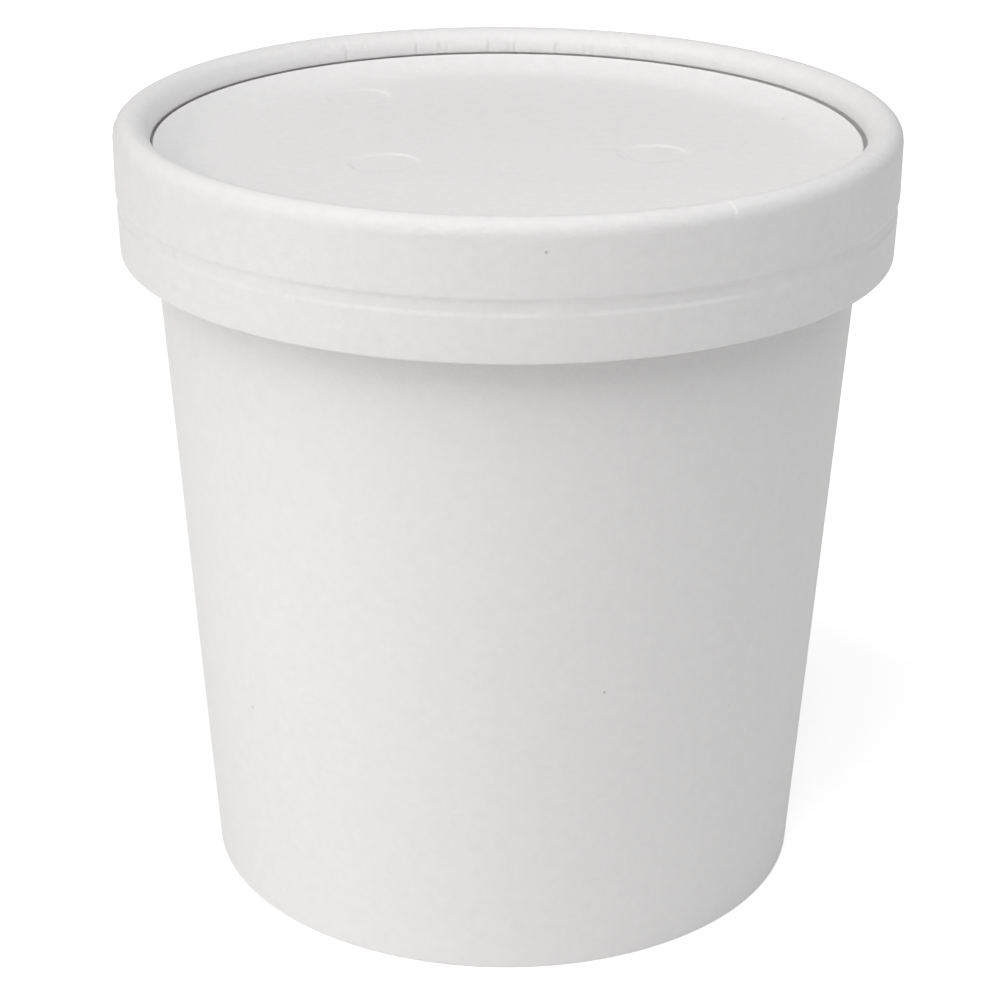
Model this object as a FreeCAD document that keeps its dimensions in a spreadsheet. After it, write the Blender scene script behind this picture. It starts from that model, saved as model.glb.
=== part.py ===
"""Paper food cup with its lid pressed on, as one parametric FreeCAD document.

Millimetres, +Z up, the origin at the centre of the foot, on the table. Four pieces:

  cup_body  the cone of the side wall, with its rolled rim, its lapped side seam and, below the
            base, the foot whose edge is folded up inside. The pack is shut, so the cone is solid.
  cup_base  the base disc, held up off the table, with its skirt turned down into the folded foot.
  lid_disc  the pressed panel of the lid, with its edge turned up and three round vent marks.
  lid_band  the band glued round the disc: a skirt down over the rim of the cup, a shallow groove
            all round it, and a top edge rolled over inwards that stops just short of the disc.

The two pieces of the lid are drawn from the plane of the cup's rim and placed at the cup's
height. Every size is a cell of the sheet "Sizes", and everything that meets takes its place
from the same cells.
"""
import FreeCAD
import Part
import Sketcher

import math
import os
import re

SIZES = {
    # the cup
    "cup_height": (96.8, "table to the top of the rolled rim"),
    "cup_foot_radius": (39.75, "outside of the wall at the table"),
    "cup_mouth_radius": (46.0, "outside of the wall carried up to the rim's top"),
    "wall_board": (0.45, "thickness of the wall's board"),
    "rim_roll_width": (3.0, "how far the rolled rim stands out from the wall"),
    "rim_roll_height": (3.2, "height of the rolled rim"),
    "rim_roll_round": (1.3, "rounding of the rolled rim's two outer edges"),
    "seam_lap_angle": (13.0, "turn over which the lapped wall rises to its cut edge, degrees"),
    # the foot and the base
    "base_board": (0.45, "thickness of the base disc's board"),
    "foot_rise": (7.5, "table to the underside of the base disc"),
    "hem_height": (6.0, "how far the wall's folded edge comes up inside the foot"),
    "hem_round": (0.45, "rounding of the fold that stands on the table"),
    # the lid's disc
    "disc_board": (0.5, "thickness of the disc's board"),
    "flange_rise": (3.9, "height of the disc's turned-up edge above the panel's underside"),
    "flange_round": (1.6, "inside bend between the panel and its turned-up edge"),
    "vent_radius": (4.8, "radius of each round vent mark"),
    "vent_depth": (0.18, "depth of each vent mark"),
    "vent_spacing": (34.2, "distance between neighbouring vent marks"),
    "vent_corner_x": (-15.5, "the middle vent mark, across"),
    "vent_corner_y": (-7.5, "the middle vent mark, front to back"),
    "vent_turn": (8.5, "turn of the row of vent marks about the middle one, degrees"),
    # the lid's band
    "lid_play": (0.1, "clearance between the rolled rim and the band"),
    "skirt_board": (0.9, "thickness of the band's two glued plies"),
    "skirt_drop": (11.4, "rim plane down to the band's lower edge"),
    "skirt_draft": (0.33, "how much smaller the band's radius is at its lower edge"),
    "skirt_round": (0.3, "rounding of the band's lower edge"),
    "groove_height": (5.6, "band's lower edge up to the groove"),
    "groove_width": (2.25, "width of the groove"),
    "groove_depth": (0.3, "depth of the groove"),
    "groove_slope": (0.25, "height of each sloping side of the groove"),
    "rim_rise": (5.4, "rim plane up to the top of the band's roll"),
    "roll_width": (4.55, "width of the band's roll across its top"),
    "roll_outer_round": (2.0, "rounding of the roll's outer edge"),
    "roll_crown": (0.05, "level strip along the top of the roll, between its two roundings"),
    "lip_board": (0.55, "thickness of the roll's inner lip"),
    "lip_round": (0.2, "rounding of the lip's lower edge"),
    "lip_gap": (1.8, "panel up to the lip"),
    "lap_ply": (0.15, "how far the band's lapped end stands out over the roll and the skirt"),
    "lap_place": (-58.5, "direction of the lap's cut edge, degrees round from +X"),
    "lap_angle": (9.0, "turn that the lap covers, degrees"),
    "slit_width": (0.35, "open slit between the lip and the disc's turned-up edge"),
    "slit_depth": (1.0, "how far the slit runs up behind the lip"),
}

# Formulas in the sheet's names. Heights of the lid are measured from the plane of the rim.
LID_RADIUS = "(cup_mouth_radius + rim_roll_width + lid_play + skirt_board)"
LIP_RADIUS = f"({LID_RADIUS} - roll_width)"
LIP_HEIGHT = "(disc_board + lip_gap)"
FLANGE_RADIUS = f"({LIP_RADIUS} + lip_board + slit_width)"
SKIRT_RADIUS = f"({LID_RADIUS} - skirt_draft)"
GROOVE_RADIUS = f"({LID_RADIUS} - groove_depth)"
BELOW_GROOVE_RADIUS = f"({LID_RADIUS} - groove_depth / 2)"
ROLL_INNER_ROUND = "(roll_width - roll_outer_round - roll_crown)"


def wall_radius(height):
    """The outside of the wall at a height, as a formula."""
    return f"(cup_foot_radius + (cup_mouth_radius - cup_foot_radius) * ({height}) / cup_height)"


def ply_radius(height, wall_plies, base_plies):
    """The wall's radius at a height, less the plies that lie inside it there."""
    return f"({wall_radius(height)} - {wall_plies} * wall_board - {base_plies} * base_board)"


def in_sheet(formula):
    """The formula with each size's name pointed at its cell."""
    def cell(word):
        return "Sizes." + word[0] if word[0] in SIZES else word[0]
    return re.sub(r"[a-z_]+", cell, formula)


def make_sheet(doc):
    sheet = doc.addObject("Spreadsheet::Sheet", "Sizes")
    for row, (name, (value, meaning)) in enumerate(SIZES.items(), start=1):
        sheet.set(f"A{row}", meaning)
        sheet.set(f"B{row}", str(value))
        sheet.setAlias(f"B{row}", name)
    doc.recompute()


def make_body(doc, label, height=None):
    """An empty body, raised by a formula if one is given."""
    body = doc.addObject("PartDesign::Body", label)
    body.Label = label
    if height is not None:
        body.setExpression("Placement.Base.z", in_sheet(height))
    return body


def add_sketch(body, name, role, height=None, turn=None):
    """An empty sketch on one of the body's own planes, raised or turned by a formula if given."""
    plane = next(item for item in body.Origin.OriginFeatures if item.Role == role)
    sketch = body.newObject("Sketcher::SketchObject", name)
    sketch.AttachmentSupport = [(plane, "")]
    sketch.MapMode = "FlatFace"
    if height is not None:
        sketch.setExpression("AttachmentOffset.Base.z", in_sheet(height))
    if turn is not None:
        sketch.setExpression("AttachmentOffset.Rotation", f"rotation(vector(0; 1; 0); {in_sheet(turn)})")
    return sketch


def bind(sketch, kind, target, formula):
    """Add one driven distance or radius, and bind it to its formula."""
    index = sketch.addConstraint(Sketcher.Constraint(kind, *target, 1.0))
    sketch.setExpression(f"Constraints[{index}]", in_sheet(formula))


def place_point(sketch, curve, point, across, up):
    """Hold a curve's end (1, 2) or centre (3) at two formulas; "0" puts it on the sketch's axis."""
    for formula, axis, kind in ((across, -2, "DistanceX"), (up, -1, "DistanceY")):
        if formula == "0":
            sketch.addConstraint(Sketcher.Constraint("PointOnObject", curve, point, axis))
        else:
            bind(sketch, kind, (-1, 1, curve, point), formula)


def draw_outline(sketch, corners):
    """A closed outline of straight runs through corners given as {name: (across, up)}."""
    places = list(corners.values())
    starts = [FreeCAD.Vector(step + 1, step * step + 1, 0) for step in range(len(places))]
    for start, end in zip(starts, starts[1:] + starts[:1]):
        sketch.addGeometry(Part.LineSegment(start, end))
    for line, (across, up) in enumerate(places):
        before = (line - 1) % len(places)
        sketch.addConstraint(Sketcher.Constraint("Coincident", before, 2, line, 1))
        place_point(sketch, line, 1, across, up)


def revolve_outline(body, corners, name="turned", start=None, angle="360"):
    """A turn about Z of an outline whose corners are (radius, height); says where each one is."""
    sketch = add_sketch(body, f"{name}_profile", "XZ_Plane", turn=start)
    draw_outline(sketch, corners)
    turned = body.newObject("PartDesign::Revolution", name)
    turned.Profile = sketch
    turned.ReferenceAxis = (sketch, ["V_Axis"])
    turned.setExpression("Angle", in_sheet(angle))
    body.Document.recompute()
    return {name: sketch.Geometry[line].StartPoint for line, name in enumerate(corners)}


def round_rings(body, places, names, size):
    """Round the circles that the named corners sweep, by a size or a sum of sizes."""
    edges = []
    for name in names:
        found = [f"Edge{number}" for number, edge in enumerate(body.Tip.Shape.Edges, start=1)
                 if isinstance(edge.Curve, Part.Circle)
                 and abs(edge.Curve.Radius - places[name].x) < 1e-5
                 and abs(edge.Curve.Center.z - places[name].y) < 1e-5]
        if len(found) != 1:
            raise RuntimeError(f"{body.Label}: corner '{name}' sweeps {len(found)} edges")
        edges += found
    fillet = body.newObject("PartDesign::Fillet", f"{names[0]}_round")
    fillet.Base = (fillet.BaseFeature, edges)
    fillet.setExpression("Radius", in_sheet(size))
    body.Document.recompute()


def make_cup_body(doc):
    """The wall as a solid cone with its rolled rim, over the folded foot."""
    body = make_body(doc, "cup_body")
    over_base = "(foot_rise + base_board)"
    under_roll = "(cup_height - rim_roll_height)"
    rim_radius = "(cup_mouth_radius + rim_roll_width)"
    places = revolve_outline(body, {
        "floor_centre": ("0", over_base),
        "floor_edge": (ply_radius(over_base, 1, 0), over_base),
        "fold_outside": (ply_radius("wall_board", 1, 0), "wall_board"),
        "fold_inside": (ply_radius("wall_board", 1, 1), "wall_board"),
        "hem_outer": (ply_radius("hem_height", 1, 1), "hem_height"),
        "hem_inner": (ply_radius("hem_height", 2, 1), "hem_height"),
        "foot_inner": (ply_radius("0", 2, 1), "0"),
        "foot_outer": ("cup_foot_radius", "0"),
        "under_roll": (wall_radius(under_roll), under_roll),
        "roll_lower": (rim_radius, under_roll),
        "roll_upper": (rim_radius, "cup_height"),
        "top_centre": ("0", "cup_height"),
    })
    round_rings(body, places, ["foot_outer", "foot_inner"], "hem_round")
    round_rings(body, places, ["roll_lower", "roll_upper"], "rim_roll_round")
    add_side_seam(body, under_roll)
    return body


def draw_lap(sketch, height):
    """The lapped wall cut at a height: a board proud at its cut edge, on the Y axis, then an arc
    that runs down to meet the wall smoothly, with its centre on the radius to that end. Its inner
    side is two straight runs within the wall's own board."""
    radius = wall_radius(height)
    inside = f"({radius} - wall_board / 3)"
    about = SIZES["cup_mouth_radius"][0]
    circle = Part.Circle(FreeCAD.Vector(0, 0, 0), FreeCAD.Vector(0, 0, 1), about)
    arc = Part.ArcOfCircle(circle, math.radians(90), math.radians(90 + SIZES["seam_lap_angle"][0]))
    proud, flush = arc.StartPoint, arc.EndPoint
    corners = [flush, flush * 0.9, (flush + proud) * 0.45, proud * 0.9, proud]
    sketch.addGeometry([arc] + [Part.LineSegment(*ends) for ends in zip(corners, corners[1:])])
    for curve in range(5):
        sketch.addConstraint(Sketcher.Constraint("Coincident", curve, 2, (curve + 1) % 5, 1))
    spoke = sketch.addGeometry(Part.LineSegment(FreeCAD.Vector(0, 0, 0), flush), True)
    sketch.addConstraint(Sketcher.Constraint("Coincident", spoke, 1, -1, 1))
    sketch.addConstraint(Sketcher.Constraint("Coincident", spoke, 2, 0, 2))
    sketch.addConstraint(Sketcher.Constraint("PointOnObject", 0, 3, spoke))
    place_point(sketch, 0, 1, "0", f"{radius} + wall_board")
    place_point(sketch, 1, 1, f"-{radius} * sin(seam_lap_angle)", f"{radius} * cos(seam_lap_angle)")
    for curve, turn in ((2, "seam_lap_angle"), (3, "seam_lap_angle / 2")):
        place_point(sketch, curve, 1, f"-{inside} * sin({turn})", f"{inside} * cos({turn})")
    place_point(sketch, 4, 1, "0", inside)


def add_side_seam(body, top):
    """The outer end of the wall's board, lapped over the inner end all the way up the back."""
    sections = []
    for name, height in (("seam_foot", "hem_round"), ("seam_top", top)):
        sketch = add_sketch(body, name, "XY_Plane", height)
        draw_lap(sketch, height)
        sections.append(sketch)
    lap = body.newObject("PartDesign::AdditiveLoft", "seam_lap")
    lap.Profile = sections[0]
    lap.Sections = sections[1:]
    lap.Ruled = True
    body.Document.recompute()


def make_cup_base(doc):
    """The base disc with its skirt turned down into the foot's fold."""
    body = make_body(doc, "cup_base")
    over_base = "(foot_rise + base_board)"
    revolve_outline(body, {
        "under_centre": ("0", "foot_rise"),
        "bend": (ply_radius("foot_rise", 1, 1), "foot_rise"),
        "skirt_inside": (ply_radius("wall_board", 1, 1), "wall_board"),
        "skirt_outside": (ply_radius("wall_board", 1, 0), "wall_board"),
        "edge": (ply_radius(over_base, 1, 0), over_base),
        "top_centre": ("0", over_base),
    })
    return body


def make_lid_disc(doc):
    """The panel with its turned-up edge and the three round vent marks pressed into it."""
    body = make_body(doc, "lid_disc", "cup_height")
    outside = f"({FLANGE_RADIUS} + disc_board)"
    places = revolve_outline(body, {
        "under_centre": ("0", "0"),
        "bend_outside": (outside, "0"),
        "flange_outside": (outside, "flange_rise"),
        "flange_inside": (FLANGE_RADIUS, "flange_rise"),
        "bend_inside": (FLANGE_RADIUS, "disc_board"),
        "panel_centre": ("0", "disc_board"),
    })
    round_rings(body, places, ["bend_inside"], "flange_round")
    round_rings(body, places, ["bend_outside"], "flange_round + disc_board")
    press_vents(body)
    return body


def press_vents(body):
    """Three shallow round marks on a right angle: the middle one and its two neighbours."""
    sketch = add_sketch(body, "vent_circles", "XY_Plane", "disc_board")
    step_x = "vent_spacing * cos(vent_turn)"
    step_y = "vent_spacing * sin(vent_turn)"
    centres = (
        ("vent_corner_x", "vent_corner_y"),
        (f"vent_corner_x + {step_x}", f"vent_corner_y + {step_y}"),
        (f"vent_corner_x - {step_y}", f"vent_corner_y + {step_x}"),
    )
    for curve, (across, back) in enumerate(centres):
        start = FreeCAD.Vector(20 * curve, 20, 0)
        sketch.addGeometry(Part.Circle(start, FreeCAD.Vector(0, 0, 1), 5))
        place_point(sketch, curve, 3, across, back)
        bind(sketch, "Radius", (curve,), "vent_radius")
    before = body.Tip.Shape.Volume
    pocket = body.newObject("PartDesign::Pocket", "vents")
    pocket.Profile = sketch
    pocket.setExpression("Length", in_sheet("vent_depth"))
    body.Document.recompute()
    if not pocket.Shape.Volume < before:
        raise RuntimeError("the vent marks cut nothing")


def make_lid_band(doc):
    """The band: skirt, groove, and the top edge rolled inwards over the disc's turned-up edge."""
    body = make_body(doc, "lid_band", "cup_height")
    groove_low = "(groove_height - skirt_drop)"
    groove_high = f"({groove_low} + groove_width)"
    slit_top = f"({LIP_HEIGHT} + slit_depth)"
    places = revolve_outline(body, {
        "skirt_outer": (SKIRT_RADIUS, "-skirt_drop"),
        "groove_lower_edge": (BELOW_GROOVE_RADIUS, groove_low),
        "groove_floor_low": (GROOVE_RADIUS, f"{groove_low} + groove_slope"),
        "groove_floor_high": (GROOVE_RADIUS, f"{groove_high} - groove_slope"),
        "groove_upper_edge": (LID_RADIUS, groove_high),
        "roll_outer": (LID_RADIUS, "rim_rise"),
        "roll_inner": (LIP_RADIUS, "rim_rise"),
        "lip_inner": (LIP_RADIUS, LIP_HEIGHT),
        "lip_outer": (f"{LIP_RADIUS} + lip_board", LIP_HEIGHT),
        "slit_lip_side": (f"{LIP_RADIUS} + lip_board", slit_top),
        "slit_disc_side": (FLANGE_RADIUS, slit_top),
        "over_flange": (FLANGE_RADIUS, "flange_rise"),
        "behind_flange": (f"{FLANGE_RADIUS} + disc_board", "flange_rise"),
        "seat_inner": (f"{FLANGE_RADIUS} + disc_board", "0"),
        "seat_outer": (f"{LID_RADIUS} - skirt_board", "0"),
        "skirt_inner": (f"{SKIRT_RADIUS} - skirt_board", "-skirt_drop"),
    })
    round_rings(body, places, ["roll_outer"], "roll_outer_round")
    round_rings(body, places, ["roll_inner"], ROLL_INNER_ROUND)
    round_rings(body, places, ["lip_inner", "lip_outer"], "lip_round")
    round_rings(body, places, ["skirt_outer", "skirt_inner"], "skirt_round")
    add_band_lap(body, groove_low, groove_high, slit_top)
    return body


def add_band_lap(body, groove_low, groove_high, slit_top):
    """The band's outer end, lapped over its inner end: one ply more on everything that shows."""
    skirt_foot = "(skirt_round - skirt_drop)"
    lip_foot = f"({LIP_HEIGHT} + lip_round)"
    lip_middle = f"({LIP_RADIUS} + lip_board / 2)"
    places = revolve_outline(body, {
        "skirt_outer": (f"{SKIRT_RADIUS} + lap_ply", skirt_foot),
        "groove_lower_edge": (f"{BELOW_GROOVE_RADIUS} + lap_ply", groove_low),
        "groove_floor_low": (f"{GROOVE_RADIUS} + lap_ply", f"{groove_low} + groove_slope"),
        "groove_floor_high": (f"{GROOVE_RADIUS} + lap_ply", f"{groove_high} - groove_slope"),
        "groove_upper_edge": (f"{LID_RADIUS} + lap_ply", groove_high),
        "roll_outer": (f"{LID_RADIUS} + lap_ply", "rim_rise + lap_ply"),
        "roll_inner": (f"{LIP_RADIUS} - lap_ply", "rim_rise + lap_ply"),
        "lip_inner": (f"{LIP_RADIUS} - lap_ply", lip_foot),
        "in_lip_foot": (lip_middle, lip_foot),
        "in_lip_top": (lip_middle, slit_top),
        "over_flange": (f"{FLANGE_RADIUS} + disc_board", "(flange_rise + rim_rise) / 2"),
        "in_roll": (f"{LID_RADIUS} - skirt_board", "rim_rise / 2"),
        "in_skirt_top": (f"{LID_RADIUS} - skirt_board / 2", "0"),
        "in_skirt_foot": (f"{SKIRT_RADIUS} - skirt_board / 2", skirt_foot),
    }, "band_lap", "lap_place", "lap_angle")
    round_rings(body, places, ["roll_outer"], "roll_outer_round + lap_ply")
    round_rings(body, places, ["roll_inner"], f"{ROLL_INNER_ROUND} + lap_ply")


def check(doc, bodies):
    """Stop if any feature failed or a piece is anything but one valid solid."""
    for item in doc.Objects:
        if "Invalid" in item.State or "Error" in item.State:
            raise RuntimeError(f"{item.Label}: {item.State}")
    for body in bodies:
        shape = body.Shape
        if shape.isNull() or not shape.isValid() or len(shape.Solids) != 1:
            raise RuntimeError(f"{body.Label} isn't one valid solid")


def main():
    doc = FreeCAD.newDocument("paper_cup_with_lid")
    make_sheet(doc)
    bodies = [make(doc) for make in (make_cup_body, make_cup_base, make_lid_disc, make_lid_band)]
    doc.recompute()
    check(doc, bodies)
    os.makedirs("parts", exist_ok=True)
    for body in bodies:
        body.Shape.exportStep(f"parts/{body.Label}.step")
        print(f"{body.Label}: {body.Shape.Volume:.0f} mm3")


main()
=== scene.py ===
"""Paper food cup with its lid pressed on: its four paperboard pieces, as surfaces worked out from
named sizes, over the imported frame, and a white studio round them.

Metres, +Z up, the origin at the centre of the foot, on the table. Every piece is a profile of
(radius, height) carried round Z, with what the machines leave on it (laps, pleats, an uneven
groove, vent marks) added as a shift along its outward direction.
"""

import bpy
import numpy as np
from bpy.props import FloatProperty, FloatVectorProperty, PointerProperty, StringProperty
from mathutils import Matrix, Vector


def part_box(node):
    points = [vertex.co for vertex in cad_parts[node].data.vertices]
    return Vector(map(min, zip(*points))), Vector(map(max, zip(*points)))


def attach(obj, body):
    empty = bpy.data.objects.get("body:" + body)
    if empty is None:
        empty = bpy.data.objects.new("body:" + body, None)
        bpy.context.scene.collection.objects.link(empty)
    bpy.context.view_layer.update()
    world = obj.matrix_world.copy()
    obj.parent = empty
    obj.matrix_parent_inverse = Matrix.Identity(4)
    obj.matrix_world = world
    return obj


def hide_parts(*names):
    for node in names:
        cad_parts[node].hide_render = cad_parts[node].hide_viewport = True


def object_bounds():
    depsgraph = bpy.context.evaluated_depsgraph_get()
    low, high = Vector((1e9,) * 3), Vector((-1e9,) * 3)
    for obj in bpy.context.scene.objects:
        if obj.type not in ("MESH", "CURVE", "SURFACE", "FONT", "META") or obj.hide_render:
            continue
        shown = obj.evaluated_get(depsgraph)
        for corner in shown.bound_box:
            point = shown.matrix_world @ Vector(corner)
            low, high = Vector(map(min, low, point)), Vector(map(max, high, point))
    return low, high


bl_info = {
    "name": "Paper cup with lid",
    "version": (1, 0, 0),
    "blender": (4, 5, 0),
    "location": "3D View > Sidebar > Paper cup",
    "description": "Adds a paperboard food cup with its pressed-on lid, and a white studio",
    "category": "Add Mesh",
}

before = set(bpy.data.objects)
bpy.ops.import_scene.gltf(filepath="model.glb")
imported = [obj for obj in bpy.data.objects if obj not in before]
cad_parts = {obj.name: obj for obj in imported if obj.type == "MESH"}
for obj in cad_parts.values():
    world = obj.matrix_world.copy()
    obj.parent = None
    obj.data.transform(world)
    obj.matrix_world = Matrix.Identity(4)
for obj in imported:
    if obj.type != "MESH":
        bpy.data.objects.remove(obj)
CAD_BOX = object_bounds()
MM = 0.001
TURN = 2 * np.pi

# How finely the pieces are drawn: columns round the axis, and the longest run along a profile.
WALL_COLUMNS, WALL_RUN = 480, 1.5 * MM
BASE_COLUMNS, BASE_RUN = 360, 2.5 * MM
BAND_COLUMNS, BAND_RUN = 720, 0.8 * MM
DISC_COLUMNS, DISC_RUN, DISC_RINGS = 420, 1.5 * MM, 125
SUM_STEPS = 14400       # steps of the running sum by which columns and rings are spread
SAME_POINT = 1e-7       # points of an outline that are this close, in metres, are one


# ---------------------------------------------------------------- sizes and colours

def length(name, default_mm, description):
    """A length that can be changed, given in millimetres and kept in metres."""
    return FloatProperty(name=name, description=description, default=default_mm * MM, min=0,
                         precision=5, unit="LENGTH", subtype="DISTANCE")


def turn(name, default_degrees, description):
    """An angle that can be changed, given in degrees and kept in radians."""
    return FloatProperty(name=name, description=description,
                         default=float(np.radians(default_degrees)), subtype="ANGLE")


def tint(name, default_hex, description):
    """A colour that can be changed, written as sRGB hex."""
    return StringProperty(name=name, description=description, default=default_hex, maxlen=7)


class CupSizes(bpy.types.PropertyGroup):
    """Sizes of the cup's wall, foot and base."""
    foot_radius: length("Foot radius", 39.75, "Outside of the wall at the table")
    mouth_radius: length("Mouth radius", 46.0, "Outside of the wall carried up to the rim's top")
    wall_board: length("Wall board", 0.45, "Thickness of the wall's board")
    rim_height: length("Rim height", 3.2, "Height of the rolled rim under the lid")
    rim_round: length("Rim rounding", 1.3, "Rounding of the rolled rim's two outer edges")
    seam_place: turn("Seam place", 90, "Direction of the side seam's cut edge, from +X")
    seam_turn: turn("Seam width", 13, "Turn over which the lapped wall rises to its cut edge")
    base_board: length("Base board", 0.45, "Thickness of the base disc's board")
    foot_rise: length("Foot rise", 7.5, "Table to the underside of the base disc")
    base_bend: length("Base bend", 0.9, "Bend between the base disc and its skirt")
    hem_height: length("Hem height", 6.0, "How far the folded edge comes up inside the foot")
    hem_round: length("Hem rounding", 0.45, "Rounding of the fold that stands on the table")
    board_edge: length("Board edge", 0.1, "Rounding of a cut board edge")


class LidSizes(bpy.types.PropertyGroup):
    """Sizes of the lid's pressed disc and of the band rolled round it."""
    skirt_drop: length("Skirt drop", 11.4, "Rim plane down to the band's lower edge")
    skirt_board: length("Skirt board", 0.9, "Thickness of the band's two glued plies")
    skirt_draft: length("Skirt draft", 0.33, "How much smaller the band is at its lower edge")
    skirt_round: length("Skirt rounding", 0.3, "Rounding of the band's lower edge")
    groove_height: length("Groove height", 5.6, "Band's lower edge up to the groove")
    groove_width: length("Groove width", 2.25, "Width of the groove")
    groove_depth: length("Groove depth", 0.3, "Depth of the groove below the band above it")
    groove_slope: length("Groove slope", 0.5, "Height of each sloping side of the groove")
    groove_round: length("Groove rounding", 0.8, "Rounding of the groove's four edges")
    rim_rise: length("Rim rise", 5.4, "Rim plane up to the top of the band's roll")
    roll_width: length("Roll width", 4.55, "Width of the band's roll across its top")
    roll_outer_round: length("Outer rounding", 2.0, "Rounding of the roll's outer edge")
    roll_inner_round: length("Inner rounding", 2.5, "Rounding of the roll's inner edge")
    lip_board: length("Lip board", 0.5, "Thickness of the roll's inner lip")
    lip_gap: length("Lip gap", 1.8, "Panel up to the lip")
    lip_round: length("Lip rounding", 0.12, "Rounding of the lip's lower edge on the inside")
    slit_width: length("Slit width", 0.28, "Open slit between the lip and the turned-up edge")
    slit_depth: length("Slit depth", 1.5, "How far the slit runs up behind the lip")
    disc_board: length("Disc board", 0.5, "Thickness of the disc's board")
    flange_rise: length("Flange rise", 3.9, "Height of the disc's turned-up edge")
    flange_bend: length("Flange bend", 0.8, "Inside bend at the foot of the turned-up edge")
    bead_bend: length("Bead bend", 9.0, "Bend with which the panel's edge starts to rise")
    bead_width: length("Bead width", 4.6, "Width of the panel's edge that rises to the bead")
    bead_board: length("Bead board", 0.22, "Thickness of the bead's crest")
    bead_gap: length("Bead gap", 0.08, "How far the bead's crest lies below the lip's end")
    bead_inset: length("Bead inset", 0.42, "Open gap across from the bead's crest to the lip")
    board_edge: length("Board edge", 0.1, "Rounding of a cut board edge")
    lip_offset: length("Lip offset", 0.12, "How far the lip's ring lies off centre, towards +X")
    lap_ply: length("Lap step", 0.07, "How far the band's lapped end stands out")
    lap_place: turn("Lap place", -58.5, "Direction of the lap's cut edge, from +X")
    lap_turn: turn("Lap width", 9, "Turn over which the lapped end rises to its cut edge")
    pleat_depth: length("Pleat depth", 0.32, "Depth of a full pleat in the roll's inner face")
    pleat_width: length("Pleat width", 0.32, "Half width of a pleat")
    vent_radius: length("Vent radius", 4.8, "Radius of each round vent mark")
    vent_depth: length("Vent depth", 0.2, "Depth of each vent mark")
    vent_edge: length("Vent edge", 0.65, "Width of the sloping edge of a vent mark")
    vent_spacing: length("Vent spacing", 34.2, "Distance between neighbouring vent marks")
    vent_place: FloatVectorProperty(name="Vent place", size=2, unit="LENGTH", precision=5,
                                    description="Middle of the vent mark at the row's corner",
                                    default=(-0.0155, -0.0075))
    vent_turn: turn("Vent turn", 8.5, "Turn of the row of vent marks about its corner")
    panel_waver: length("Panel waver", 0.04, "Height of the panel's slight unevenness")


class BoardFinish(bpy.types.PropertyGroup):
    """Colours and texture of the two boards."""
    cup_colour: tint("Cup board", "#F5F4F4", "White of the cup's coated board")
    lid_colour: tint("Lid board", "#F4F3F3", "White of the lid's coated board")
    speck_colour: tint("Specks", "#C4C0BC", "Bits of darker fibre in the board")
    speck_size: length("Speck size", 0.25, "Radius of the largest specks")
    speck_spacing: length("Speck spacing", 11.0, "Distance between specks through the board")
    cup_cloud: FloatProperty(name="Cup clouds", description="How cloudy the cup's board is",
                             default=0.08, min=0, max=1, subtype="FACTOR")
    lid_cloud: FloatProperty(name="Lid clouds", description="How cloudy the lid's board is",
                             default=0.1, min=0, max=1, subtype="FACTOR")
    cloud_size: length("Cloud size", 1.5, "Size of the cloudy patches of a board's fibres")
    fibre_size: length("Fibre", 0.6, "Size of the fibre texture that shows")
    fibre_depth: length("Fibre depth", 0.05, "Height of the fibre texture")
    crinkle_size: length("Crinkle", 0.9, "Size of the crinkles in the lid's roll")
    crinkle_depth: length("Crinkle depth", 0.16, "Height of the crinkles in the lid's roll")
    crinkle_reach: length("Crinkle reach", 3.0, "How far down from the roll's top they go")
    crinkle_fade: length("Crinkle fade", 1.5, "Height over which the crinkles set in")
    crinkle_patch: length("Crinkle patches", 22.222, "Size of the more and less crinkled patches")


class StudioLook(bpy.types.PropertyGroup):
    """The lamps, the floor and the camera."""
    left_power: FloatProperty(name="Left", description="Power of the soft box at the left",
                              default=2.65, min=0, unit="POWER")
    high_power: FloatProperty(name="High", description="Power of the soft box high in front",
                              default=1.44, min=0, unit="POWER")
    right_power: FloatProperty(name="Right", description="Power of the soft box at the right",
                               default=0.62, min=0, unit="POWER")
    top_power: FloatProperty(name="Top", description="Power of the soft box overhead",
                             default=0.295, min=0, unit="POWER")
    near_power: FloatProperty(name="Near", description="Power of the small near lamp, front left",
                              default=0.0147, min=0, unit="POWER")
    fill: FloatProperty(name="Fill", description="Strength of the white room round the object",
                        default=0.2, min=0)
    floor_colour: tint("Floor", "#F8F8F8", "White of the table")
    lens: FloatProperty(name="Lens", description="Focal length in millimetres on a 36 mm frame",
                        default=95.53, min=1, unit="CAMERA")
    camera_place: FloatVectorProperty(name="Camera place", subtype="TRANSLATION", unit="LENGTH",
                                      description="Where the camera stands", precision=5,
                                      default=(0.0, -0.33072, 0.18547))
    camera_pitch: turn("Pitch", -22.505, "How far the camera looks down")
    camera_yaw: turn("Yaw", 0.124, "How far the camera looks to the left")
    camera_roll: turn("Roll", 0.366, "How far the camera leans")


# ---------------------------------------------------------------- surfaces

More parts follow.
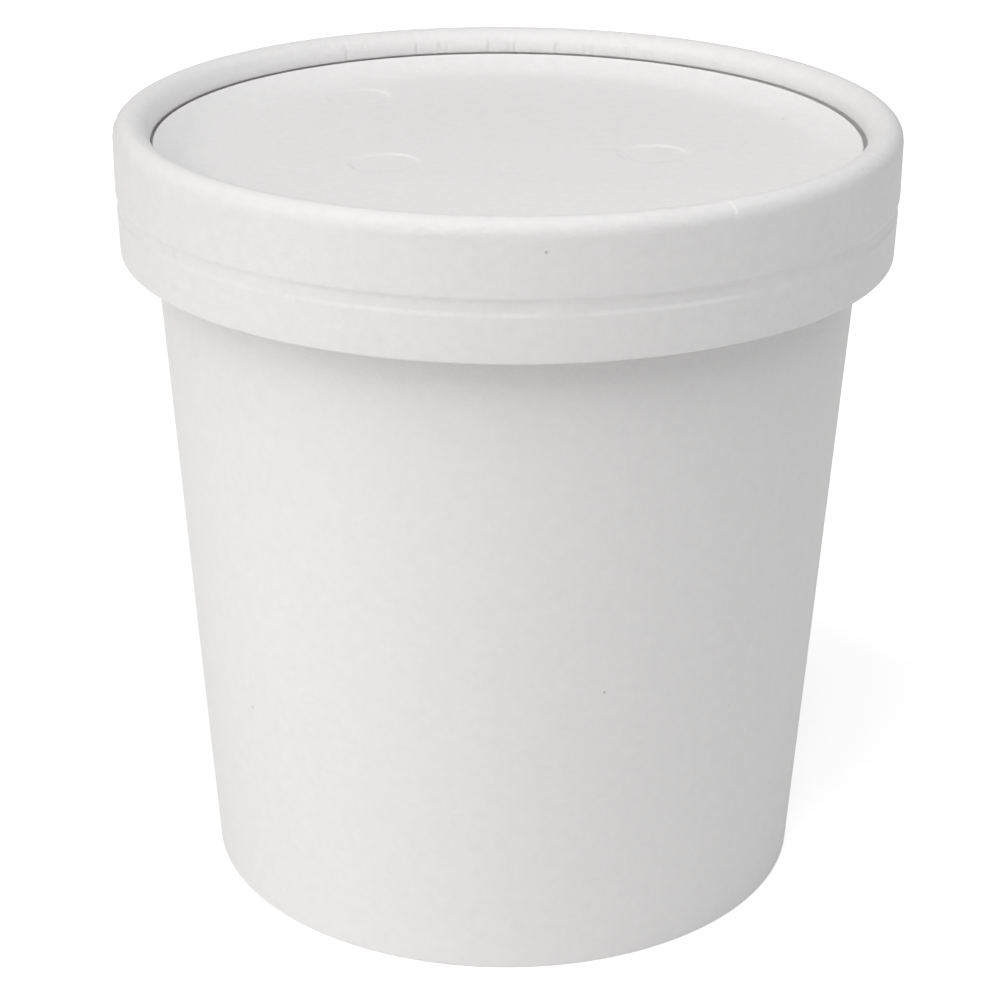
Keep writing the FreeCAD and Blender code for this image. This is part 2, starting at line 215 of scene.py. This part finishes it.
def rounded(corners, steps):
    """The outline through corners of (radius, height, rounding), each corner drawn as its circle.

    With A and B the points where the circle touches the two runs and C the corner itself, the
    circle is ((1-s)^2 A + 2s(1-s)w C + s^2 B) / ((1-s)^2 + 2s(1-s)w + s^2) for s from 0 to 1,
    where w is the sine of half the angle between the runs.
    """
    corners = np.asarray(corners, float)
    corner, rounding = corners[:, :2], corners[:, 2:]
    back = np.roll(corner, 1, axis=0) - corner
    ahead = np.roll(corner, -1, axis=0) - corner
    back /= np.linalg.norm(back, axis=1, keepdims=True)
    ahead /= np.linalg.norm(ahead, axis=1, keepdims=True)
    half = 0.5 * np.arccos(np.clip((back * ahead).sum(axis=1, keepdims=True), -1, 1))
    reach = rounding / np.tan(half)
    touch_in, touch_out = corner + back * reach, corner + ahead * reach
    s = np.linspace(0, 1, steps)[None, :, None]
    first, middle, last = (1 - s) ** 2, 2 * s * (1 - s) * np.sin(half)[:, None], s ** 2
    arcs = first * touch_in[:, None] + middle * corner[:, None] + last * touch_out[:, None]
    points = (arcs / (first + middle + last)).reshape(-1, 2)
    apart = np.linalg.norm(np.diff(points, axis=0, prepend=points[:1] - 1), axis=1)
    return points[apart > SAME_POINT]


def cut_runs(outline, longest):
    """The same outline with each long run cut into equal parts no longer than the one given."""
    runs = np.linalg.norm(np.diff(outline, axis=0), axis=1)
    parts = np.maximum(1, np.ceil(runs / longest)).astype(int)
    run = np.repeat(np.arange(len(runs)), parts)
    share = (np.arange(parts.sum()) - np.repeat(np.cumsum(parts) - parts, parts)) / parts[run]
    points = outline[run] + (outline[run + 1] - outline[run]) * share[:, None]
    return np.vstack([points, outline[-1:]])


def outward(outline, looped):
    """Unit directions out of the outline: its tangent turned a quarter turn to the right."""
    if looped:
        tangent = np.roll(outline, -1, axis=0) - np.roll(outline, 1, axis=0)
    else:
        tangent = np.gradient(outline, axis=0)
    normal = np.stack([tangent[:, 1], -tangent[:, 0]], axis=1)
    return normal / np.linalg.norm(normal, axis=1, keepdims=True)


def carried_round(outline, normals, azimuths, shift):
    """The outline carried round Z: (r cos a, r sin a, z), with r and z moved by `shift`, a table
    of one row for each outline point and one column for each azimuth, along the normals."""
    shift = np.broadcast_to(shift, (len(outline), len(azimuths)))
    radius = outline[:, :1] + normals[:, :1] * shift
    height = outline[:, 1:] + normals[:, 1:] * shift
    return np.stack([radius * np.cos(azimuths), radius * np.sin(azimuths), height], axis=-1)


def wrapped(angle):
    """An angle brought between minus and plus half a turn."""
    return (angle + np.pi) % TURN - np.pi


def eased(t):
    """0 below 0, 1 above 1 and 3t^2 - 2t^3 between them."""
    t = np.clip(t, 0, 1)
    return t * t * (3 - 2 * t)


def spread(count, density, whole=TURN):
    """Places from 0 up to a whole turn or length, equal steps of the running sum of density."""
    fine = np.linspace(0, whole, SUM_STEPS + 1)
    middle = (fine[1:] + fine[:-1]) / 2
    total = np.concatenate([[0], np.cumsum(density(middle))])
    return np.interp(np.arange(count) / count * total[-1], total, fine)


def with_cut(azimuths, place, gap=2e-4):
    """The azimuths with two more, a gap to each side of a place, for the two sides of a cut."""
    return np.union1d(azimuths, np.array([place - gap, place + gap]) % TURN)


def lapped(azimuths, place, width, ply):
    """How far a lapped end stands out: ply (1 - t)^2, with t the turn past the cut edge as a
    share of the lap's width, and nothing before the cut or past the width."""
    t = wrapped(azimuths - place) / width
    return np.where((t >= 0) & (t <= 1), ply * (1 - t) ** 2, 0.0)


def ripple(azimuths, waves, seed):
    """A sum of sines round the ring, of the given numbers of waves, of random size and place."""
    chance = np.random.default_rng(seed)
    size, place = chance.normal(size=len(waves)), chance.uniform(0, TURN, len(waves))
    return (size * np.sin(azimuths[:, None] * waves + place)).sum(axis=1) / np.sqrt(len(waves))


def add_piece(name, grid, looped, material, node):
    """A mesh piece on body root, from a grid of points in rows along the profile and columns
    round the axis. A looped profile joins its last row to its first; any other starts and ends
    on the axis, where its first and last rows are one point each."""
    rings = grid if looped else grid[1:-1]
    rows, columns = rings.shape[:2]
    row = np.arange(rows if looped else rows - 1)[:, None] * columns
    above = (row + columns) % (rows * columns)
    column = np.arange(columns)[None, :]
    beside = (column + 1) % columns
    quads = np.stack([row + column, row + beside, above + beside, above + column], axis=-1)
    points, faces = rings.reshape(-1, 3), quads.reshape(-1, 4).tolist()
    if not looped:
        first, last = len(points), len(points) + 1
        points = np.vstack([points, grid[0, :1], grid[-1, :1]])
        ring, onward = column[0], beside[0]
        top = (rows - 1) * columns
        faces += np.stack([np.full(columns, first), onward, ring], axis=1).tolist()
        faces += np.stack([top + ring, top + onward, np.full(columns, last)], axis=1).tolist()
    mesh = bpy.data.meshes.new(name)
    mesh.from_pydata(points, [], faces)
    mesh.polygons.foreach_set("use_smooth", np.ones(len(mesh.polygons), bool))
    mesh.materials.append(bpy.data.materials[material])
    mesh.validate()
    piece = bpy.data.objects.new(name, mesh)
    bpy.context.scene.collection.objects.link(piece)
    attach(piece, "root")
    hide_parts(node)
    return piece


# ---------------------------------------------------------------- materials

SPECK_CORE = 0.4        # share of a speck's radius that is fully grey
FELT_LENGTH = 1.8       # how much longer round the wall than up it the felt's fibres lie
# The curl is nearly smooth where the patches' noise is low, and fully crinkled where it is high.
SMOOTH_UP_TO, CRINKLED_FROM, LEAST_CRINKLED = 0.4, 0.65, 0.15


def linear(hex_colour):
    """An sRGB hex colour as linear red, green, blue and an alpha of 1."""
    value = np.array([int(hex_colour[i:i + 2], 16) for i in (1, 3, 5)]) / 255
    value = np.where(value <= 0.04045, value / 12.92, ((value + 0.055) / 1.055) ** 2.4)
    return (*value.tolist(), 1.0)


def add_node(tree, kind, settings=None, **inputs):
    """Adds a node with its settings. Each input is a plain value or the output that feeds it,
    and is called by its name, or by an underscore and its number."""
    node = tree.nodes.new(kind)
    for name, value in (settings or {}).items():
        setattr(node, name, value)
    for name, value in inputs.items():
        socket = node.inputs[int(name[1:]) if name[0] == "_" else name]
        if isinstance(value, bpy.types.NodeSocket):
            tree.links.new(value, socket)
        else:
            socket.default_value = value
    return node


def coated_paperboard(name, colour, cloudiness, finish, crinkled_above=None):
    """White paperboard with a thin matt plastic coating pressed on: a soft, even white with faint
    clouds where the fibres lie thicker, a rare grey speck of fibre, a fine felt under the coating
    that breaks up the light a little, and a broad weak sheen instead of a gloss. Board rolled to
    a tight curl also crinkles, here above a height."""
    material = bpy.data.materials.new(name)
    material.use_nodes = True
    tree = material.node_tree
    tree.nodes.clear()
    place = add_node(tree, "ShaderNodeTexCoord").outputs["Object"]

    clouds = add_node(tree, "ShaderNodeTexNoise", Vector=place, Scale=1 / finish.cloud_size,
                      Detail=4.0, Roughness=0.7)
    white = linear(colour)
    thin = (*(part * (1 - cloudiness) for part in white[:3]), 1.0)
    board = add_node(tree, "ShaderNodeMix", {"data_type": "RGBA"},
                     _0=clouds.outputs[0], _6=thin, _7=white)

    # Specks are balls at random places through space; the board cuts few of them.
    spots = add_node(tree, "ShaderNodeTexVoronoi", Vector=place, Scale=1 / finish.speck_spacing)
    reach = finish.speck_size / finish.speck_spacing
    speck = add_node(tree, "ShaderNodeMapRange", _0=spots.outputs["Distance"],
                     _1=SPECK_CORE * reach, _2=reach, _3=1.0, _4=0.0)
    shade = add_node(tree, "ShaderNodeMix", {"data_type": "RGBA"},
                     _0=speck.outputs[0], _6=board.outputs[2], _7=linear(finish.speck_colour))

    # Sheet forming draws the fibres out along the reel, so their felt is longer than it is high.
    felt = add_node(tree, "ShaderNodeMapping", Vector=place, Scale=(1.0, 1.0, FELT_LENGTH))
    fibres = add_node(tree, "ShaderNodeTexNoise", Vector=felt.outputs[0],
                      Scale=1 / finish.fibre_size, Detail=2.0, Roughness=0.6)
    surface = add_node(tree, "ShaderNodeBump", Strength=1.0, Distance=finish.fibre_depth,
                       Height=fibres.outputs[0])
    if crinkled_above is not None:
        height = add_node(tree, "ShaderNodeSeparateXYZ", Vector=place).outputs["Z"]
        rolled = add_node(tree, "ShaderNodeMapRange", {"interpolation_type": "SMOOTHSTEP"},
                          _0=height, _1=crinkled_above,
                          _2=crinkled_above + finish.crinkle_fade, _3=0.0, _4=1.0)
        crinkles = add_node(tree, "ShaderNodeTexNoise", Vector=place,
                            Scale=1 / finish.crinkle_size, Detail=2.0, Roughness=0.5)
        patches = add_node(tree, "ShaderNodeTexNoise", Vector=place,
                           Scale=1 / finish.crinkle_patch, Detail=1.0)
        rough = add_node(tree, "ShaderNodeMapRange", _0=patches.outputs[0],
                         _1=SMOOTH_UP_TO, _2=CRINKLED_FROM, _3=LEAST_CRINKLED, _4=1.0)
        where = add_node(tree, "ShaderNodeMath", {"operation": "MULTIPLY"},
                         _0=rolled.outputs[0], _1=rough.outputs[0])
        raised = add_node(tree, "ShaderNodeMath", {"operation": "MULTIPLY"},
                          _0=where.outputs[0], _1=crinkles.outputs[0])
        surface = add_node(tree, "ShaderNodeBump", Strength=1.0, Distance=finish.crinkle_depth,
                           Height=raised.outputs[0], Normal=surface.outputs[0])

    shader = add_node(tree, "ShaderNodeBsdfPrincipled", Roughness=0.6, IOR=1.5)
    tree.links.new(shade.outputs[2], shader.inputs["Base Color"])
    tree.links.new(surface.outputs[0], shader.inputs["Normal"])
    add_node(tree, "ShaderNodeOutputMaterial", Surface=shader.outputs[0])
    return material


# ---------------------------------------------------------------- the cup

def wall_radius(cup, height, plies):
    """Outside of the straight wall at a height, a plain proportion between its foot and its
    mouth, less a number of plies of its board."""
    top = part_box("cup_body")[1].z
    outside = cup.foot_radius + (cup.mouth_radius - cup.foot_radius) * height / top
    return outside - plies * cup.wall_board


class CUP_OT_wall(bpy.types.Operator):
    """Add the cup's wall: the cone with its lapped side seam, rolled rim and folded foot"""
    bl_idname = "paper_cup.wall"
    bl_label = "Cup wall"
    bl_options = {"REGISTER", "UNDO"}

    def execute(self, context):
        cup = context.scene.cup_sizes
        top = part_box("cup_body")[1]
        board, edge = cup.wall_board, cup.board_edge
        over_base = cup.foot_rise + cup.base_board
        under_rim = top.z - cup.rim_height
        outline = cut_runs(rounded([
            (0, over_base, 0),
            (wall_radius(cup, over_base, 1), over_base, edge),
            (wall_radius(cup, board, 1), board, edge),
            (wall_radius(cup, board, 2), board, edge),
            (wall_radius(cup, cup.hem_height, 2), cup.hem_height, edge),
            (wall_radius(cup, cup.hem_height, 3), cup.hem_height, edge),
            (wall_radius(cup, 0, 3), 0, cup.hem_round),
            (cup.foot_radius, 0, cup.hem_round),
            (wall_radius(cup, under_rim, 0), under_rim, edge),
            (top.x, under_rim, cup.rim_round),
            (top.x, top.z, cup.rim_round),
            (0, top.z, 0),
        ], steps=7), WALL_RUN)

        def density(azimuth):
            """Three times as fine over the seam."""
            past = wrapped(azimuth - cup.seam_place - cup.seam_turn / 2)
            return np.where(np.abs(past) < cup.seam_turn, 3, 1)

        azimuths = with_cut(spread(WALL_COLUMNS, density), cup.seam_place)
        normals = outward(outline, looped=False)
        r, z = outline.T
        on_wall = (normals[:, 0] > 0.9) & (r > wall_radius(cup, z, 0) - edge)
        # The seam's step is flattened over the last millimetre below the rim.
        flattened = 1 * MM
        up_wall = on_wall * (1 - eased((z - under_rim + flattened) / flattened))
        shift = up_wall[:, None] * lapped(azimuths, cup.seam_place, cup.seam_turn, board)
        add_piece("cup_wall", carried_round(outline, normals, azimuths, shift), False,
                  "coated_paperboard_cup", "cup_body")
        return {"FINISHED"}


class CUP_OT_base(bpy.types.Operator):
    """Add the base disc with its skirt turned down into the foot's fold"""
    bl_idname = "paper_cup.base"
    bl_label = "Cup base"
    bl_options = {"REGISTER", "UNDO"}

    def execute(self, context):
        cup = context.scene.cup_sizes
        board, edge = cup.wall_board, cup.board_edge
        over_base = cup.foot_rise + cup.base_board
        outline = cut_runs(rounded([
            (0, cup.foot_rise, 0),
            (wall_radius(cup, cup.foot_rise, 2), cup.foot_rise, cup.base_bend),
            (wall_radius(cup, board, 2), board, edge),
            (wall_radius(cup, board, 1), board, edge),
            (wall_radius(cup, over_base, 1), over_base, cup.base_bend + board),
            (0, over_base, 0),
        ], steps=7), BASE_RUN)
        azimuths = np.arange(BASE_COLUMNS) / BASE_COLUMNS * TURN
        normals = outward(outline, looped=False)
        add_piece("cup_base_disc", carried_round(outline, normals, azimuths, 0.0), False,
                  "coated_paperboard_cup", "cup_base")
        return {"FINISHED"}


# ---------------------------------------------------------------- the lid

# Where the curl puckered as the band was rolled in: (direction in degrees, share of full depth).
PLEATS = (
    (120.0, 0.7), (115.5, 0.3), (106.6, 1.0), (102.4, 0.8), (101.1, 0.5), (93.5, 0.8),
    (89.9, 0.5), (88.7, 0.7), (81.3, 0.9), (76.0, 0.6), (74.9, 0.5), (68.3, 0.5), (63.5, 0.4),
)
PLEAT_REACH = np.radians(0.9)   # how far to each side of a pleat the band is drawn finely
PLEAT_AT_LIP = 0.6              # share of a pleat's depth left at the lip's cut edge

# The groove is uneven by this share of its depth, in waves of these numbers round the band.
GROOVE_UNEVEN, GROOVE_WAVES, GROOVE_SEED = 0.25, np.arange(3, 40, 3), 4

LAP_ON_SKIRT = 0.03     # share of the lap's step left where the skirt is pressed flat
LAP_SETS_IN = 0.7       # how far below the top the step starts, in outer roundings
SKIRT_SKIN = 1.2 * MM   # the band's outer face lies within this of its largest radius

VENT_REACH = 1.3        # how far round a vent mark the panel is drawn finely, in its radii
VENT_SOFTER = 1.6       # a mark's edge is wider by this share where the punch bit least
# Lengths over 2 pi and starts of the panel's slow waves along X and Y, and how far in from the
# rising edge they are at their full height.
WAVER_X, WAVER_Y, WAVER_IN = (17 * MM, 1.1), (14 * MM, -0.4), 8 * MM


def lid_radii(lid):
    """Outside of the band, inside of its lip, and inside of the disc's turned-up edge."""
    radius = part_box("lid_band")[1].x
    lip = radius - lid.roll_width
    return radius, lip, lip + lid.lip_board + lid.slit_width


class LID_OT_band(bpy.types.Operator):
    """Add the lid's band: skirt, groove, and the top edge rolled in over the disc's edge"""
    bl_idname = "paper_cup.lid_band"
    bl_label = "Lid band"
    bl_options = {"REGISTER", "UNDO"}

    def execute(self, context):
        lid = context.scene.lid_sizes
        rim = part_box("cup_body")[1].z
        radius, lip, flange = lid_radii(lid)
        top, foot = rim + lid.rim_rise, rim - lid.skirt_drop
        lip_end = rim + lid.disc_board + lid.lip_gap
        slit_top = lip_end + lid.slit_depth
        over_flange = rim + lid.flange_rise
        groove_low = foot + lid.groove_height
        groove_high = groove_low + lid.groove_width
        edge = lid.board_edge
        outline = rounded([
            (radius - lid.skirt_draft, foot, lid.skirt_round),
            (radius - lid.groove_depth / 2, groove_low, lid.groove_round),
            (radius - lid.groove_depth, groove_low + lid.groove_slope, lid.groove_round),
            (radius - lid.groove_depth, groove_high - lid.groove_slope, lid.groove_round),
            (radius, groove_high, lid.groove_round),
            (radius, top, lid.roll_outer_round),
            (lip, top, lid.roll_inner_round),
            (lip, lip_end, lid.lip_round),
            (lip + lid.lip_board, lip_end, edge),
            (lip + lid.lip_board, slit_top, edge),
            (flange, slit_top, edge),
            (flange, over_flange, edge),
            (flange + lid.disc_board, over_flange, edge),
            (flange + lid.disc_board, rim, edge),
            (radius - lid.skirt_board, rim, edge),
            (radius - lid.skirt_draft - lid.skirt_board, foot, lid.skirt_round),
        ], steps=6)
        outline = cut_runs(np.vstack([outline, outline[:1]]), BAND_RUN)[:-1]
        normals = outward(outline, looped=True)
        places, depths = np.array(PLEATS).T
        places = np.radians(places)

        def density(azimuth):
            """Nine times as fine at the pleats."""
            away = np.abs(wrapped(azimuth[:, None] - places)).min(axis=1)
            return np.where(away < PLEAT_REACH, 9, 1)

        azimuths = with_cut(spread(BAND_COLUMNS, density), lid.lap_place)
        r, z = outline.T
        # The groove is pressed deeper and shallower by turns, and fully so over its middle half.
        into_groove = 4 * np.minimum(z - groove_low, groove_high - z) / lid.groove_width
        in_groove = eased(into_groove) * (normals[:, 0] > 0.5)
        uneven = ripple(azimuths, GROOVE_WAVES, GROOVE_SEED)
        shift = GROOVE_UNEVEN * lid.groove_depth * in_groove[:, None] * uneven

        # The pleats: narrow creases across the roll's inner face, deepest just above its lip.
        inner = (normals[:, 0] < 0) & (z > lip_end - edge) & (
            (r < lip + lid.lip_board / 2) | (z > over_flange + edge))
        normals[inner & (z < lip_end + lid.lip_round)] = (-1, 0)
        fade = inner * (1 - eased((z - lip_end) / (top - lip_end)))
        away = wrapped(azimuths[:, None] - places) * lip / lid.pleat_width
        crease = (np.exp(-away ** 2) * depths).sum(axis=1)
        past_lip = eased((z - lip_end) / lid.lip_board)
        deep = fade * (PLEAT_AT_LIP + (1 - PLEAT_AT_LIP) * past_lip)
        shift = shift - lid.pleat_depth * deep[:, None] * crease
        # The curl closed a little off centre, so the gap under it is wider at one side.
        shift = shift - lid.lip_offset * fade[:, None] * np.cos(azimuths)

        # The lap: one ply more on the faces that show, over the roll and in to its lip, and
        # pressed flat below it on the skirt.
        on_skirt = (normals[:, 0] > 0.2) & (r > radius - SKIRT_SKIN)
        on_roll = (z > lip_end) & ((normals[:, 1] > 0) | (r < lip + lid.lip_round))
        over_roll = eased((z - top) / (LAP_SETS_IN * lid.roll_outer_round) + 1)
        stands = (on_skirt | on_roll) * (LAP_ON_SKIRT + (1 - LAP_ON_SKIRT) * over_roll)
        lap = lapped(azimuths, lid.lap_place, lid.lap_turn, lid.lap_ply)
        shift = shift + stands[:, None] * lap
        add_piece("lid_rolled_band", carried_round(outline, normals, azimuths, shift), True,
                  "coated_paperboard_lid", "lid_band")
        return {"FINISHED"}


class LID_OT_disc(bpy.types.Operator):
    """Add the lid's pressed disc with its turned-up edge and three round vent marks"""
    bl_idname = "paper_cup.lid_disc"
    bl_label = "Lid disc"
    bl_options = {"REGISTER", "UNDO"}

    def execute(self, context):
        lid = context.scene.lid_sizes
        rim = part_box("lid_disc")[0].z
        _, lip, flange = lid_radii(lid)
        top, edge = rim + lid.disc_board, lid.board_edge
        # The bead: the panel's edge, which rises to a crest just inside the lip and just below
        # its end, with an open gap all round between the two.
        bead, crest = lip - lid.bead_inset, top + lid.lip_gap - lid.bead_gap
        bead_foot = bead - lid.bead_board - lid.bead_width
        outline = rounded([
            (0, rim, 0),
            (flange + lid.disc_board, rim, lid.flange_bend + lid.disc_board),
            (flange + lid.disc_board, rim + lid.flange_rise, edge),
            (flange, rim + lid.flange_rise, edge),
            (flange, top, lid.flange_bend),
            (bead, top, edge / 2),
            (bead, crest, edge),
            (bead - lid.bead_board, crest, edge),
            (bead_foot, top, lid.bead_bend),
            (0, top, 0),
        ], steps=6)
        corner = np.array(lid.vent_place)
        along = lid.vent_spacing * np.array([np.cos(lid.vent_turn), np.sin(lid.vent_turn)])
        vents = np.array([corner, corner + along, corner + [-along[1], along[0]]])
        vent_radii, bearings = np.hypot(*vents.T), np.arctan2(vents[:, 1], vents[:, 0])
        near = VENT_REACH * lid.vent_radius

        def ring_density(radius):
            """Six times as fine where a vent mark crosses the rings."""
            away = np.abs(radius[:, None] - vent_radii).min(axis=1)
            return np.where(away < near, 6, 1)

        def column_density(azimuth):
            """Six times as fine where a vent mark crosses the columns."""
            away = np.abs(wrapped(azimuth[:, None] - bearings))
            return np.where((away < np.arcsin(near / vent_radii)).any(axis=1), 6, 1)

        rings = spread(DISC_RINGS, ring_density, outline[-2, 0])[:0:-1]
        outline = np.vstack([cut_runs(outline[:-1], DISC_RUN),
                             np.stack([rings, np.full(len(rings), top)], axis=1), [(0, top)]])
        normals = outward(outline, looped=False)
        azimuths = spread(DISC_COLUMNS, column_density)
        on_panel = (outline[:, 0] < bead_foot) & (normals[:, 1] > 0.5)
        shift = on_panel[:, None] * self.pressed(lid, outline[:, :1], azimuths, vents, bead_foot)
        add_piece("lid_pressed_disc", carried_round(outline, normals, azimuths, shift), False,
                  "coated_paperboard_lid", "lid_disc")
        return {"FINISHED"}

    def pressed(self, lid, r, azimuths, vents, bead_foot):
        """The panel's shift at each point, negative as it's down: the round vent marks, each
        -depth * eased((radius - distance) / edge), and the slow waves, which are
        -height * (1 + sin(x) sin(y))."""
        x, y = r * np.cos(azimuths), r * np.sin(azimuths)
        across, up = x[..., None] - vents[:, 0], y[..., None] - vents[:, 1]
        # The punch bit harder towards and away from one side, so the edge fades between.
        soft = np.sin(np.arctan2(up, across) - TURN / 8) ** 2
        edge = lid.vent_edge * (1 + VENT_SOFTER * soft)
        mark = eased((lid.vent_radius - np.hypot(across, up)) / edge).sum(axis=-1)
        (long_x, start_x), (long_y, start_y) = WAVER_X, WAVER_Y
        waver = 1 + np.sin(x / long_x + start_x) * np.sin(y / long_y + start_y)
        inwards = eased((bead_foot - r) / WAVER_IN)
        return -lid.vent_depth * mark - lid.panel_waver * inwards * waver


# ---------------------------------------------------------------- finishes and stage

class CUP_OT_finishes(bpy.types.Operator):
    """Make the board materials that the pieces take"""
    bl_idname = "paper_cup.finishes"
    bl_label = "Board finishes"

    def execute(self, context):
        finish = context.scene.board_finish
        crinkled_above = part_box("lid_band")[1].z - finish.crinkle_reach
        coated_paperboard("coated_paperboard_cup", finish.cup_colour, finish.cup_cloud, finish)
        coated_paperboard("coated_paperboard_lid", finish.lid_colour, finish.lid_cloud, finish,
                          crinkled_above)
        return {"FINISHED"}


WARM = (1.0, 0.975, 0.955)      # linear colour of the lamps at the left, just warmer than white


class CUP_OT_studio(bpy.types.Operator):
    """Add the white table and room, the soft lamps and the camera"""
    bl_idname = "paper_cup.studio"
    bl_label = "Studio"

    def execute(self, context):
        scene, look = context.scene, context.scene.studio_look
        scene.view_settings.view_transform = "Standard"
        self.add_floor(look)
        self.light_room(scene, look)
        # Azimuth and height in degrees, distance and side in metres, then power and colour.
        self.add_lamp("soft_box_left", -150, 35, 0.9, 0.7, look.left_power, WARM)
        self.add_lamp("soft_box_high", -90, 60, 0.6, 0.5, look.high_power)
        self.add_lamp("soft_box_right", -10, 30, 0.9, 0.7, look.right_power)
        self.add_lamp("soft_box_overhead", 0, 89, 0.35, 0.4, look.top_power)
        self.add_lamp("near_lamp", -138, -3, 0.15, 0.07, look.near_power, WARM)
        self.add_camera(scene, look)
        return {"FINISHED"}

    def add_floor(self, look):
        """A large white table top. Seen directly it also glows, so that it shows as white less
        the object's shadow: at half strength close to the object, and fully further off."""
        half, close, further = 2.0, 0.08, 0.3
        mesh = bpy.data.meshes.new("floor")
        mesh.from_pydata([(-half, -half, 0), (half, -half, 0), (half, half, 0), (-half, half, 0)],
                         [], [(0, 1, 2, 3)])
        material = bpy.data.materials.new("white_table")
        material.use_nodes = True
        tree = material.node_tree
        tree.nodes.clear()
        seen = add_node(tree, "ShaderNodeLightPath").outputs
        direct = add_node(tree, "ShaderNodeMath", {"operation": "MAXIMUM"},
                          _0=seen["Is Camera Ray"], _1=seen["Is Glossy Ray"])
        place = add_node(tree, "ShaderNodeTexCoord").outputs["Object"]
        away = add_node(tree, "ShaderNodeVectorMath", {"operation": "LENGTH"}, _0=place)
        white = add_node(tree, "ShaderNodeMapRange", _0=away.outputs["Value"],
                         _1=close, _2=further, _3=0.5, _4=1.0)
        lift = add_node(tree, "ShaderNodeMath", {"operation": "MULTIPLY"},
                        _0=direct.outputs[0], _1=white.outputs[0])
        board = add_node(tree, "ShaderNodeBsdfDiffuse", Color=linear(look.floor_colour))
        glow = add_node(tree, "ShaderNodeEmission", Strength=lift.outputs[0])
        both = add_node(tree, "ShaderNodeAddShader", _0=board.outputs[0], _1=glow.outputs[0])
        add_node(tree, "ShaderNodeOutputMaterial", Surface=both.outputs[0])
        mesh.materials.append(material)
        floor = bpy.data.objects.new("floor", mesh)
        bpy.context.scene.collection.objects.link(floor)

    def light_room(self, scene, look):
        """An even white room, seen as plain white and lighting the object at the fill's level."""
        world = bpy.data.worlds.new("white_room")
        world.use_nodes = True
        tree = world.node_tree
        tree.nodes.clear()
        seen = add_node(tree, "ShaderNodeLightPath").outputs["Is Camera Ray"]
        level = add_node(tree, "ShaderNodeMix", {"data_type": "FLOAT"},
                         _0=seen, _2=look.fill, _3=1.0)
        room = add_node(tree, "ShaderNodeBackground", Strength=level.outputs[0],
                        Color=(1.0, 1.0, 1.0, 1.0))
        add_node(tree, "ShaderNodeOutputWorld", Surface=room.outputs[0])
        scene.world = world

    def add_lamp(self, name, azimuth, height, distance, size, power, colour=(1, 1, 1)):
        """A square soft box in a given direction from the middle of the object, aimed at it."""
        middle = (CAD_BOX[0] + CAD_BOX[1]) / 2
        a, h = np.radians([azimuth, height])
        towards = Vector((np.cos(a) * np.cos(h), np.sin(a) * np.cos(h), np.sin(h)))
        lamp = bpy.data.lights.new(name, "AREA")
        lamp.size, lamp.energy, lamp.color = size, power, colour
        holder = bpy.data.objects.new(name, lamp)
        holder.location = middle + towards * distance
        holder.rotation_euler = towards.to_track_quat("Z", "Y").to_euler()
        holder.visible_camera = False
        bpy.context.scene.collection.objects.link(holder)

    def add_camera(self, scene, look):
        """A camera that starts level, looking along +Y, then yaws, pitches and leans."""
        camera = bpy.data.cameras.new("camera")
        camera.lens, camera.sensor_width = look.lens, 36.0
        camera.clip_start, camera.clip_end = 0.01, 20.0
        holder = bpy.data.objects.new("camera", camera)
        aim = (Matrix.Rotation(look.camera_yaw, 4, "Z")
               @ Matrix.Rotation(np.pi / 2 + look.camera_pitch, 4, "X")
               @ Matrix.Rotation(look.camera_roll, 4, "Z"))
        holder.matrix_world = Matrix.Translation(look.camera_place) @ aim
        scene.collection.objects.link(holder)
        scene.camera = holder


class CUP_PT_panel(bpy.types.Panel):
    """The sizes, the finishes and the buttons that add each piece"""
    bl_idname = "CUP_PT_panel"
    bl_label = "Paper cup with lid"
    bl_space_type = "VIEW_3D"
    bl_region_type = "UI"
    bl_category = "Paper cup"

    def draw(self, context):
        for operator in OPERATORS:
            self.layout.operator(operator.bl_idname)
        for name, group in GROUPS.items():
            box = self.layout.box()
            for prop in group.__annotations__:
                box.prop(getattr(context.scene, name), prop)


GROUPS = {"cup_sizes": CupSizes, "lid_sizes": LidSizes, "board_finish": BoardFinish,
          "studio_look": StudioLook}
OPERATORS = (CUP_OT_finishes, CUP_OT_wall, CUP_OT_base, LID_OT_band, LID_OT_disc, CUP_OT_studio)


def register():
    for cls in (*GROUPS.values(), *OPERATORS, CUP_PT_panel):
        bpy.utils.register_class(cls)
    for name, group in GROUPS.items():
        setattr(bpy.types.Scene, name, PointerProperty(type=group))


def unregister():
    for name in GROUPS:
        delattr(bpy.types.Scene, name)
    for cls in (CUP_PT_panel, *reversed(OPERATORS), *reversed(GROUPS.values())):
        bpy.utils.unregister_class(cls)


def main():
    """Add everything through the add-on."""
    register()
    bpy.ops.paper_cup.finishes()
    bpy.ops.paper_cup.wall()
    bpy.ops.paper_cup.base()
    bpy.ops.paper_cup.lid_band()
    bpy.ops.paper_cup.lid_disc()
    bpy.ops.paper_cup.studio()


if __name__ == "__main__":
    main()
